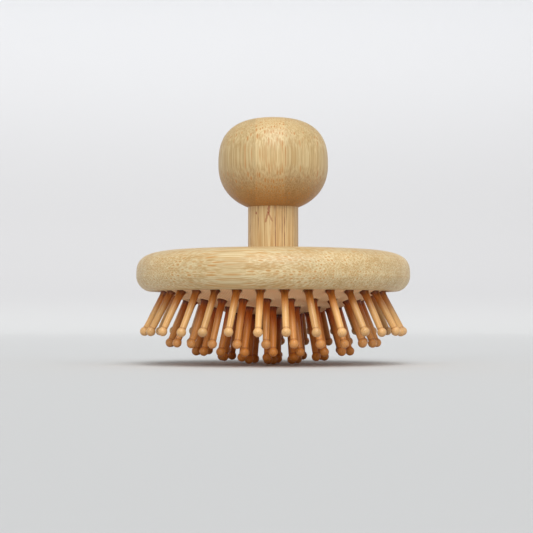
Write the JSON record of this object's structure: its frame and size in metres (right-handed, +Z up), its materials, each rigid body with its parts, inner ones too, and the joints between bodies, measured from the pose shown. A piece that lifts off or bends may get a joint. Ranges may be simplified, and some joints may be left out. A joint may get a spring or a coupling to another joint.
{
  "type": "scalp massager brush",
  "caption": "Round palm-held wooden brush with a ball knob on a dowel neck and an air cushion of ball-tipped pins under the base.",
  "frame": {"origin": "bottom centre of the bounding box: the tip of the middle pin, on the axis of the turned pieces", "axes": "+Z up along the axis of base, neck and knob, from the pins to the knob; -Y towards the viewer; the pattern of pins repeats every 60 degrees about Z"},
  "size_m": [0.11, 0.11, 0.0992],
  "materials": {
    "knob_bamboo": "turned bamboo, satin lacquer, fibres along the axis",
    "neck_bamboo": "bamboo dowel, satin, streaked along the axis",
    "base_bamboo": "laminated bamboo board, satin, fibres across the board",
    "rubber": "matte pinkish tan natural rubber",
    "pin_wood": "turned wooden pins, smooth satin"
  },
  "bodies": {
    "brush_body": {"knob": "knob_bamboo", "neck": "neck_bamboo", "base": "base_bamboo", "air_cushion": "rubber"},
    "centre_pin_group": {"centre_pins": "pin_wood"},
    "third_ring_group": {"third_ring_pins": "pin_wood"},
    "fourth_ring_body_01": {"fourth_ring_pin_01": "pin_wood"},
    "fourth_ring_body_02": {"fourth_ring_pin_02": "pin_wood"},
    "fourth_ring_body_03": {"fourth_ring_pin_03": "pin_wood"},
    "fourth_ring_body_04": {"fourth_ring_pin_04": "pin_wood"},
    "fourth_ring_body_05": {"fourth_ring_pin_05": "pin_wood"},
    "fourth_ring_body_06": {"fourth_ring_pin_06": "pin_wood"},
    "fourth_ring_body_07": {"fourth_ring_pin_07": "pin_wood"},
    "fourth_ring_body_08": {"fourth_ring_pin_08": "pin_wood"},
    "fourth_ring_body_09": {"fourth_ring_pin_09": "pin_wood"},
    "fourth_ring_body_10": {"fourth_ring_pin_10": "pin_wood"},
    "fourth_ring_body_11": {"fourth_ring_pin_11": "pin_wood"},
    "fourth_ring_body_12": {"fourth_ring_pin_12": "pin_wood"},
    "fourth_ring_body_13": {"fourth_ring_pin_13": "pin_wood"},
    "fourth_ring_body_14": {"fourth_ring_pin_14": "pin_wood"},
    "fourth_ring_body_15": {"fourth_ring_pin_15": "pin_wood"},
    "fourth_ring_body_16": {"fourth_ring_pin_16": "pin_wood"},
    "fourth_ring_body_17": {"fourth_ring_pin_17": "pin_wood"},
    "fourth_ring_body_18": {"fourth_ring_pin_18": "pin_wood"},
    "fourth_ring_body_19": {"fourth_ring_pin_19": "pin_wood"},
    "fourth_ring_body_20": {"fourth_ring_pin_20": "pin_wood"},
    "fourth_ring_body_21": {"fourth_ring_pin_21": "pin_wood"},
    "fourth_ring_body_22": {"fourth_ring_pin_22": "pin_wood"},
    "fourth_ring_body_23": {"fourth_ring_pin_23": "pin_wood"},
    "fourth_ring_body_24": {"fourth_ring_pin_24": "pin_wood"},
    "outer_ring_body_01": {"outer_ring_pin_01": "pin_wood"},
    "outer_ring_body_02": {"outer_ring_pin_02": "pin_wood"},
    "outer_ring_body_03": {"outer_ring_pin_03": "pin_wood"},
    "outer_ring_body_04": {"outer_ring_pin_04": "pin_wood"},
    "outer_ring_body_05": {"outer_ring_pin_05": "pin_wood"},
    "outer_ring_body_06": {"outer_ring_pin_06": "pin_wood"},
    "outer_ring_body_07": {"outer_ring_pin_07": "pin_wood"},
    "outer_ring_body_08": {"outer_ring_pin_08": "pin_wood"},
    "outer_ring_body_09": {"outer_ring_pin_09": "pin_wood"},
    "outer_ring_body_10": {"outer_ring_pin_10": "pin_wood"},
    "outer_ring_body_11": {"outer_ring_pin_11": "pin_wood"},
    "outer_ring_body_12": {"outer_ring_pin_12": "pin_wood"},
    "outer_ring_body_13": {"outer_ring_pin_13": "pin_wood"},
    "outer_ring_body_14": {"outer_ring_pin_14": "pin_wood"},
    "outer_ring_body_15": {"outer_ring_pin_15": "pin_wood"},
    "outer_ring_body_16": {"outer_ring_pin_16": "pin_wood"},
    "outer_ring_body_17": {"outer_ring_pin_17": "pin_wood"},
    "outer_ring_body_18": {"outer_ring_pin_18": "pin_wood"},
    "outer_ring_body_19": {"outer_ring_pin_19": "pin_wood"},
    "outer_ring_body_20": {"outer_ring_pin_20": "pin_wood"},
    "outer_ring_body_21": {"outer_ring_pin_21": "pin_wood"},
    "outer_ring_body_22": {"outer_ring_pin_22": "pin_wood"},
    "outer_ring_body_23": {"outer_ring_pin_23": "pin_wood"},
    "outer_ring_body_24": {"outer_ring_pin_24": "pin_wood"},
    "outer_ring_body_25": {"outer_ring_pin_25": "pin_wood"},
    "outer_ring_body_26": {"outer_ring_pin_26": "pin_wood"},
    "outer_ring_body_27": {"outer_ring_pin_27": "pin_wood"},
    "outer_ring_body_28": {"outer_ring_pin_28": "pin_wood"},
    "outer_ring_body_29": {"outer_ring_pin_29": "pin_wood"},
    "outer_ring_body_30": {"outer_ring_pin_30": "pin_wood"}
  },
  "joints": [
    {"name": "cushion_press", "type": "slide", "parent": "brush_body", "child": "centre_pin_group", "axis": [0, 0, 1], "range_m": [0, 0.00378], "stiffness_N_per_m": 800, "springref_m": -0.002, "deforming": ["air_cushion"]},
    {"name": "third_ring_rise", "type": "slide", "parent": "brush_body", "child": "third_ring_group", "axis": [0, 0, 1], "range_m": [0, 0.00299]},
    {"name": "fourth_ring_turn_01", "type": "hinge", "parent": "brush_body", "child": "fourth_ring_body_01", "pos_m": [-0.00384, -0.04991, 0.02557], "axis": [0.9971, -0.0767, 0], "range_deg": [0, 7.37]},
    {"name": "fourth_ring_turn_02", "type": "hinge", "parent": "brush_body", "child": "fourth_ring_body_02", "pos_m": [0.00921, -0.0492, 0.02557], "axis": [0.9829, 0.184, 0], "range_deg": [0, 7.37]},
    {"name": "fourth_ring_turn_03", "type": "hinge", "parent": "brush_body", "child": "fourth_ring_body_03", "pos_m": [0.02163, -0.04514, 0.02557], "axis": [0.9018, 0.4321, 0], "range_deg": [0, 7.37]},
    {"name": "fourth_ring_turn_04", "type": "hinge", "parent": "brush_body", "child": "fourth_ring_body_04", "pos_m": [0.03257, -0.038, 0.02557], "axis": [0.7593, 0.6508, 0], "range_deg": [0, 7.37]},
    {"name": "fourth_ring_turn_05", "type": "hinge", "parent": "brush_body", "child": "fourth_ring_body_05", "pos_m": [0.0413, -0.02828, 0.02557], "axis": [0.565, 0.8251, 0], "range_deg": [0, 7.37]},
    {"name": "fourth_ring_turn_06", "type": "hinge", "parent": "brush_body", "child": "fourth_ring_body_06", "pos_m": [0.04721, -0.01663, 0.02557], "axis": [0.3322, 0.9432, 0], "range_deg": [0, 7.37]},
    {"name": "fourth_ring_turn_07", "type": "hinge", "parent": "brush_body", "child": "fourth_ring_body_07", "pos_m": [0.04991, -0.00384, 0.02557], "axis": [0.0767, 0.9971, 0], "range_deg": [0, 7.37]},
    {"name": "fourth_ring_turn_08", "type": "hinge", "parent": "brush_body", "child": "fourth_ring_body_08", "pos_m": [0.0492, 0.00921, 0.02557], "axis": [-0.184, 0.9829, 0], "range_deg": [0, 7.37]},
    {"name": "fourth_ring_turn_09", "type": "hinge", "parent": "brush_body", "child": "fourth_ring_body_09", "pos_m": [0.04514, 0.02163, 0.02557], "axis": [-0.4321, 0.9018, 0], "range_deg": [0, 7.37]},
    {"name": "fourth_ring_turn_10", "type": "hinge", "parent": "brush_body", "child": "fourth_ring_body_10", "pos_m": [0.038, 0.03257, 0.02557], "axis": [-0.6508, 0.7593, 0], "range_deg": [0, 7.37]},
    {"name": "fourth_ring_turn_11", "type": "hinge", "parent": "brush_body", "child": "fourth_ring_body_11", "pos_m": [0.02828, 0.0413, 0.02557], "axis": [-0.8251, 0.565, 0], "range_deg": [0, 7.37]},
    {"name": "fourth_ring_turn_12", "type": "hinge", "parent": "brush_body", "child": "fourth_ring_body_12", "pos_m": [0.01663, 0.04721, 0.02557], "axis": [-0.9432, 0.3322, 0], "range_deg": [0, 7.37]},
    {"name": "fourth_ring_turn_13", "type": "hinge", "parent": "brush_body", "child": "fourth_ring_body_13", "pos_m": [0.00384, 0.04991, 0.02557], "axis": [-0.9971, 0.0767, 0], "range_deg": [0, 7.37]},
    {"name": "fourth_ring_turn_14", "type": "hinge", "parent": "brush_body", "child": "fourth_ring_body_14", "pos_m": [-0.00921, 0.0492, 0.02557], "axis": [-0.9829, -0.184, 0], "range_deg": [0, 7.37]},
    {"name": "fourth_ring_turn_15", "type": "hinge", "parent": "brush_body", "child": "fourth_ring_body_15", "pos_m": [-0.02163, 0.04514, 0.02557], "axis": [-0.9018, -0.4321, 0], "range_deg": [0, 7.37]},
    {"name": "fourth_ring_turn_16", "type": "hinge", "parent": "brush_body", "child": "fourth_ring_body_16", "pos_m": [-0.03257, 0.038, 0.02557], "axis": [-0.7593, -0.6508, 0], "range_deg": [0, 7.37]},
    {"name": "fourth_ring_turn_17", "type": "hinge", "parent": "brush_body", "child": "fourth_ring_body_17", "pos_m": [-0.0413, 0.02828, 0.02557], "axis": [-0.565, -0.8251, 0], "range_deg": [0, 7.37]},
    {"name": "fourth_ring_turn_18", "type": "hinge", "parent": "brush_body", "child": "fourth_ring_body_18", "pos_m": [-0.04721, 0.01663, 0.02557], "axis": [-0.3322, -0.9432, 0], "range_deg": [0, 7.37]},
    {"name": "fourth_ring_turn_19", "type": "hinge", "parent": "brush_body", "child": "fourth_ring_body_19", "pos_m": [-0.04991, 0.00384, 0.02557], "axis": [-0.0767, -0.9971, 0], "range_deg": [0, 7.37]},
    {"name": "fourth_ring_turn_20", "type": "hinge", "parent": "brush_body", "child": "fourth_ring_body_20", "pos_m": [-0.0492, -0.00921, 0.02557], "axis": [0.184, -0.9829, 0], "range_deg": [0, 7.37]},
    {"name": "fourth_ring_turn_21", "type": "hinge", "parent": "brush_body", "child": "fourth_ring_body_21", "pos_m": [-0.04514, -0.02163, 0.02557], "axis": [0.4321, -0.9018, 0], "range_deg": [0, 7.37]},
    {"name": "fourth_ring_turn_22", "type": "hinge", "parent": "brush_body", "child": "fourth_ring_body_22", "pos_m": [-0.038, -0.03257, 0.02557], "axis": [0.6508, -0.7593, 0], "range_deg": [0, 7.37]},
    {"name": "fourth_ring_turn_23", "type": "hinge", "parent": "brush_body", "child": "fourth_ring_body_23", "pos_m": [-0.02828, -0.0413, 0.02557], "axis": [0.8251, -0.565, 0], "range_deg": [0, 7.37]},
    {"name": "fourth_ring_turn_24", "type": "hinge", "parent": "brush_body", "child": "fourth_ring_body_24", "pos_m": [-0.01663, -0.04721, 0.02557], "axis": [0.9432, -0.3322, 0], "range_deg": [0, 7.37]},
    {"name": "outer_ring_turn_01", "type": "hinge", "parent": "brush_body", "child": "outer_ring_body_01", "pos_m": [0.0044, -0.04659, 0.0293], "axis": [0.9956, 0.0941, 0], "range_deg": [0, 9.26]},
    {"name": "outer_ring_turn_02", "type": "hinge", "parent": "brush_body", "child": "outer_ring_body_02", "pos_m": [0.014, -0.04466, 0.0293], "axis": [0.9542, 0.299, 0], "range_deg": [0, 9.26]},
    {"name": "outer_ring_turn_03", "type": "hinge", "parent": "brush_body", "child": "outer_ring_body_03", "pos_m": [0.02297, -0.04077, 0.0293], "axis": [0.8712, 0.4909, 0], "range_deg": [0, 9.26]},
    {"name": "outer_ring_turn_04", "type": "hinge", "parent": "brush_body", "child": "outer_ring_body_04", "pos_m": [0.03095, -0.03511, 0.0293], "axis": [0.7501, 0.6613, 0], "range_deg": [0, 9.26]},
    {"name": "outer_ring_turn_05", "type": "hinge", "parent": "brush_body", "child": "outer_ring_body_05", "pos_m": [0.03757, -0.0279, 0.0293], "axis": [0.5962, 0.8028, 0], "range_deg": [0, 9.26]},
    {"name": "outer_ring_turn_06", "type": "hinge", "parent": "brush_body", "child": "outer_ring_body_06", "pos_m": [0.04255, -0.01948, 0.0293], "axis": [0.4163, 0.9092, 0], "range_deg": [0, 9.26]},
    {"name": "outer_ring_turn_07", "type": "hinge", "parent": "brush_body", "child": "outer_ring_body_07", "pos_m": [0.04568, -0.01021, 0.0293], "axis": [0.2181, 0.9759, 0], "range_deg": [0, 9.26]},
    {"name": "outer_ring_turn_08", "type": "hinge", "parent": "brush_body", "child": "outer_ring_body_08", "pos_m": [0.0468, -0.00049, 0.0293], "axis": [0.0105, 0.9999, 0], "range_deg": [0, 9.26]},
    {"name": "outer_ring_turn_09", "type": "hinge", "parent": "brush_body", "child": "outer_ring_body_09", "pos_m": [0.04588, 0.00925, 0.0293], "axis": [-0.1977, 0.9803, 0], "range_deg": [0, 9.26]},
    {"name": "outer_ring_turn_10", "type": "hinge", "parent": "brush_body", "child": "outer_ring_body_10", "pos_m": [0.04295, 0.01859, 0.0293], "axis": [-0.3971, 0.9178, 0], "range_deg": [0, 9.26]},
    {"name": "outer_ring_turn_11", "type": "hinge", "parent": "brush_body", "child": "outer_ring_body_11", "pos_m": [0.03815, 0.02711, 0.0293], "axis": [-0.5793, 0.8151, 0], "range_deg": [0, 9.26]},
    {"name": "outer_ring_turn_12", "type": "hinge", "parent": "brush_body", "child": "outer_ring_body_12", "pos_m": [0.03168, 0.03445, 0.0293], "axis": [-0.7361, 0.6769, 0], "range_deg": [0, 9.26]},
    {"name": "outer_ring_turn_13", "type": "hinge", "parent": "brush_body", "child": "outer_ring_body_13", "pos_m": [0.02382, 0.04028, 0.0293], "axis": [-0.8607, 0.509, 0], "range_deg": [0, 9.26]},
    {"name": "outer_ring_turn_14", "type": "hinge", "parent": "brush_body", "child": "outer_ring_body_14", "pos_m": [0.01493, 0.04436, 0.0293], "axis": [-0.9478, 0.319, 0], "range_deg": [0, 9.26]},
    {"name": "outer_ring_turn_15", "type": "hinge", "parent": "brush_body", "child": "outer_ring_body_15", "pos_m": [0.00538, 0.04649, 0.0293], "axis": [-0.9934, 0.1149, 0], "range_deg": [0, 9.26]},
    {"name": "outer_ring_turn_16", "type": "hinge", "parent": "brush_body", "child": "outer_ring_body_16", "pos_m": [-0.0044, 0.04659, 0.0293], "axis": [-0.9956, -0.0941, 0], "range_deg": [0, 9.26]},
    {"name": "outer_ring_turn_17", "type": "hinge", "parent": "brush_body", "child": "outer_ring_body_17", "pos_m": [-0.014, 0.04466, 0.0293], "axis": [-0.9542, -0.299, 0], "range_deg": [0, 9.26]},
    {"name": "outer_ring_turn_18", "type": "hinge", "parent": "brush_body", "child": "outer_ring_body_18", "pos_m": [-0.02297, 0.04077, 0.0293], "axis": [-0.8712, -0.4909, 0], "range_deg": [0, 9.26]},
    {"name": "outer_ring_turn_19", "type": "hinge", "parent": "brush_body", "child": "outer_ring_body_19", "pos_m": [-0.03095, 0.03511, 0.0293], "axis": [-0.7501, -0.6613, 0], "range_deg": [0, 9.26]},
    {"name": "outer_ring_turn_20", "type": "hinge", "parent": "brush_body", "child": "outer_ring_body_20", "pos_m": [-0.03757, 0.0279, 0.0293], "axis": [-0.5962, -0.8028, 0], "range_deg": [0, 9.26]},
    {"name": "outer_ring_turn_21", "type": "hinge", "parent": "brush_body", "child": "outer_ring_body_21", "pos_m": [-0.04255, 0.01948, 0.0293], "axis": [-0.4163, -0.9092, 0], "range_deg": [0, 9.26]},
    {"name": "outer_ring_turn_22", "type": "hinge", "parent": "brush_body", "child": "outer_ring_body_22", "pos_m": [-0.04568, 0.01021, 0.0293], "axis": [-0.2181, -0.9759, 0], "range_deg": [0, 9.26]},
    {"name": "outer_ring_turn_23", "type": "hinge", "parent": "brush_body", "child": "outer_ring_body_23", "pos_m": [-0.0468, 0.00049, 0.0293], "axis": [-0.0105, -0.9999, 0], "range_deg": [0, 9.26]},
    {"name": "outer_ring_turn_24", "type": "hinge", "parent": "brush_body", "child": "outer_ring_body_24", "pos_m": [-0.04588, -0.00925, 0.0293], "axis": [0.1977, -0.9803, 0], "range_deg": [0, 9.26]},
    {"name": "outer_ring_turn_25", "type": "hinge", "parent": "brush_body", "child": "outer_ring_body_25", "pos_m": [-0.04295, -0.01859, 0.0293], "axis": [0.3971, -0.9178, 0], "range_deg": [0, 9.26]},
    {"name": "outer_ring_turn_26", "type": "hinge", "parent": "brush_body", "child": "outer_ring_body_26", "pos_m": [-0.03815, -0.02711, 0.0293], "axis": [0.5793, -0.8151, 0], "range_deg": [0, 9.26]},
    {"name": "outer_ring_turn_27", "type": "hinge", "parent": "brush_body", "child": "outer_ring_body_27", "pos_m": [-0.03168, -0.03445, 0.0293], "axis": [0.7361, -0.6769, 0], "range_deg": [0, 9.26]},
    {"name": "outer_ring_turn_28", "type": "hinge", "parent": "brush_body", "child": "outer_ring_body_28", "pos_m": [-0.02382, -0.04028, 0.0293], "axis": [0.8607, -0.509, 0], "range_deg": [0, 9.26]},
    {"name": "outer_ring_turn_29", "type": "hinge", "parent": "brush_body", "child": "outer_ring_body_29", "pos_m": [-0.01493, -0.04436, 0.0293], "axis": [0.9478, -0.319, 0], "range_deg": [0, 9.26]},
    {"name": "outer_ring_turn_30", "type": "hinge", "parent": "brush_body", "child": "outer_ring_body_30", "pos_m": [-0.00538, -0.04649, 0.0293], "axis": [0.9934, -0.1149, 0], "range_deg": [0, 9.26]}
  ],
  "couplings": [
    {"joint": "third_ring_rise", "follows": "cushion_press", "ratio": 0.7908},
    {"joint": "fourth_ring_turn_01", "follows": "cushion_press", "rad_per_m": 34},
    {"joint": "fourth_ring_turn_02", "follows": "cushion_press", "rad_per_m": 34},
    {"joint": "fourth_ring_turn_03", "follows": "cushion_press", "rad_per_m": 34},
    {"joint": "fourth_ring_turn_04", "follows": "cushion_press", "rad_per_m": 34},
    {"joint": "fourth_ring_turn_05", "follows": "cushion_press", "rad_per_m": 34},
    {"joint": "fourth_ring_turn_06", "follows": "cushion_press", "rad_per_m": 34},
    {"joint": "fourth_ring_turn_07", "follows": "cushion_press", "rad_per_m": 34},
    {"joint": "fourth_ring_turn_08", "follows": "cushion_press", "rad_per_m": 34},
    {"joint": "fourth_ring_turn_09", "follows": "cushion_press", "rad_per_m": 34},
    {"joint": "fourth_ring_turn_10", "follows": "cushion_press", "rad_per_m": 34},
    {"joint": "fourth_ring_turn_11", "follows": "cushion_press", "rad_per_m": 34},
    {"joint": "fourth_ring_turn_12", "follows": "cushion_press", "rad_per_m": 34},
    {"joint": "fourth_ring_turn_13", "follows": "cushion_press", "rad_per_m": 34},
    {"joint": "fourth_ring_turn_14", "follows": "cushion_press", "rad_per_m": 34},
    {"joint": "fourth_ring_turn_15", "follows": "cushion_press", "rad_per_m": 34},
    {"joint": "fourth_ring_turn_16", "follows": "cushion_press", "rad_per_m": 34},
    {"joint": "fourth_ring_turn_17", "follows": "cushion_press", "rad_per_m": 34},
    {"joint": "fourth_ring_turn_18", "follows": "cushion_press", "rad_per_m": 34},
    {"joint": "fourth_ring_turn_19", "follows": "cushion_press", "rad_per_m": 34},
    {"joint": "fourth_ring_turn_20", "follows": "cushion_press", "rad_per_m": 34},
    {"joint": "fourth_ring_turn_21", "follows": "cushion_press", "rad_per_m": 34},
    {"joint": "fourth_ring_turn_22", "follows": "cushion_press", "rad_per_m": 34},
    {"joint": "fourth_ring_turn_23", "follows": "cushion_press", "rad_per_m": 34},
    {"joint": "fourth_ring_turn_24", "follows": "cushion_press", "rad_per_m": 34},
    {"joint": "outer_ring_turn_01", "follows": "cushion_press", "rad_per_m": 42.687},
    {"joint": "outer_ring_turn_02", "follows": "cushion_press", "rad_per_m": 42.687},
    {"joint": "outer_ring_turn_03", "follows": "cushion_press", "rad_per_m": 42.687},
    {"joint": "outer_ring_turn_04", "follows": "cushion_press", "rad_per_m": 42.687},
    {"joint": "outer_ring_turn_05", "follows": "cushion_press", "rad_per_m": 42.687},
    {"joint": "outer_ring_turn_06", "follows": "cushion_press", "rad_per_m": 42.687},
    {"joint": "outer_ring_turn_07", "follows": "cushion_press", "rad_per_m": 42.687},
    {"joint": "outer_ring_turn_08", "follows": "cushion_press", "rad_per_m": 42.687},
    {"joint": "outer_ring_turn_09", "follows": "cushion_press", "rad_per_m": 42.687},
    {"joint": "outer_ring_turn_10", "follows": "cushion_press", "rad_per_m": 42.687},
    {"joint": "outer_ring_turn_11", "follows": "cushion_press", "rad_per_m": 42.687},
    {"joint": "outer_ring_turn_12", "follows": "cushion_press", "rad_per_m": 42.687},
    {"joint": "outer_ring_turn_13", "follows": "cushion_press", "rad_per_m": 42.687},
    {"joint": "outer_ring_turn_14", "follows": "cushion_press", "rad_per_m": 42.687},
    {"joint": "outer_ring_turn_15", "follows": "cushion_press", "rad_per_m": 42.687},
    {"joint": "outer_ring_turn_16", "follows": "cushion_press", "rad_per_m": 42.687},
    {"joint": "outer_ring_turn_17", "follows": "cushion_press", "rad_per_m": 42.687},
    {"joint": "outer_ring_turn_18", "follows": "cushion_press", "rad_per_m": 42.687},
    {"joint": "outer_ring_turn_19", "follows": "cushion_press", "rad_per_m": 42.687},
    {"joint": "outer_ring_turn_20", "follows": "cushion_press", "rad_per_m": 42.687},
    {"joint": "outer_ring_turn_21", "follows": "cushion_press", "rad_per_m": 42.687},
    {"joint": "outer_ring_turn_22", "follows": "cushion_press", "rad_per_m": 42.687},
    {"joint": "outer_ring_turn_23", "follows": "cushion_press", "rad_per_m": 42.687},
    {"joint": "outer_ring_turn_24", "follows": "cushion_press", "rad_per_m": 42.687},
    {"joint": "outer_ring_turn_25", "follows": "cushion_press", "rad_per_m": 42.687},
    {"joint": "outer_ring_turn_26", "follows": "cushion_press", "rad_per_m": 42.687},
    {"joint": "outer_ring_turn_27", "follows": "cushion_press", "rad_per_m": 42.687},
    {"joint": "outer_ring_turn_28", "follows": "cushion_press", "rad_per_m": 42.687},
    {"joint": "outer_ring_turn_29", "follows": "cushion_press", "rad_per_m": 42.687},
    {"joint": "outer_ring_turn_30", "follows": "cushion_press", "rad_per_m": 42.687}
  ]
}
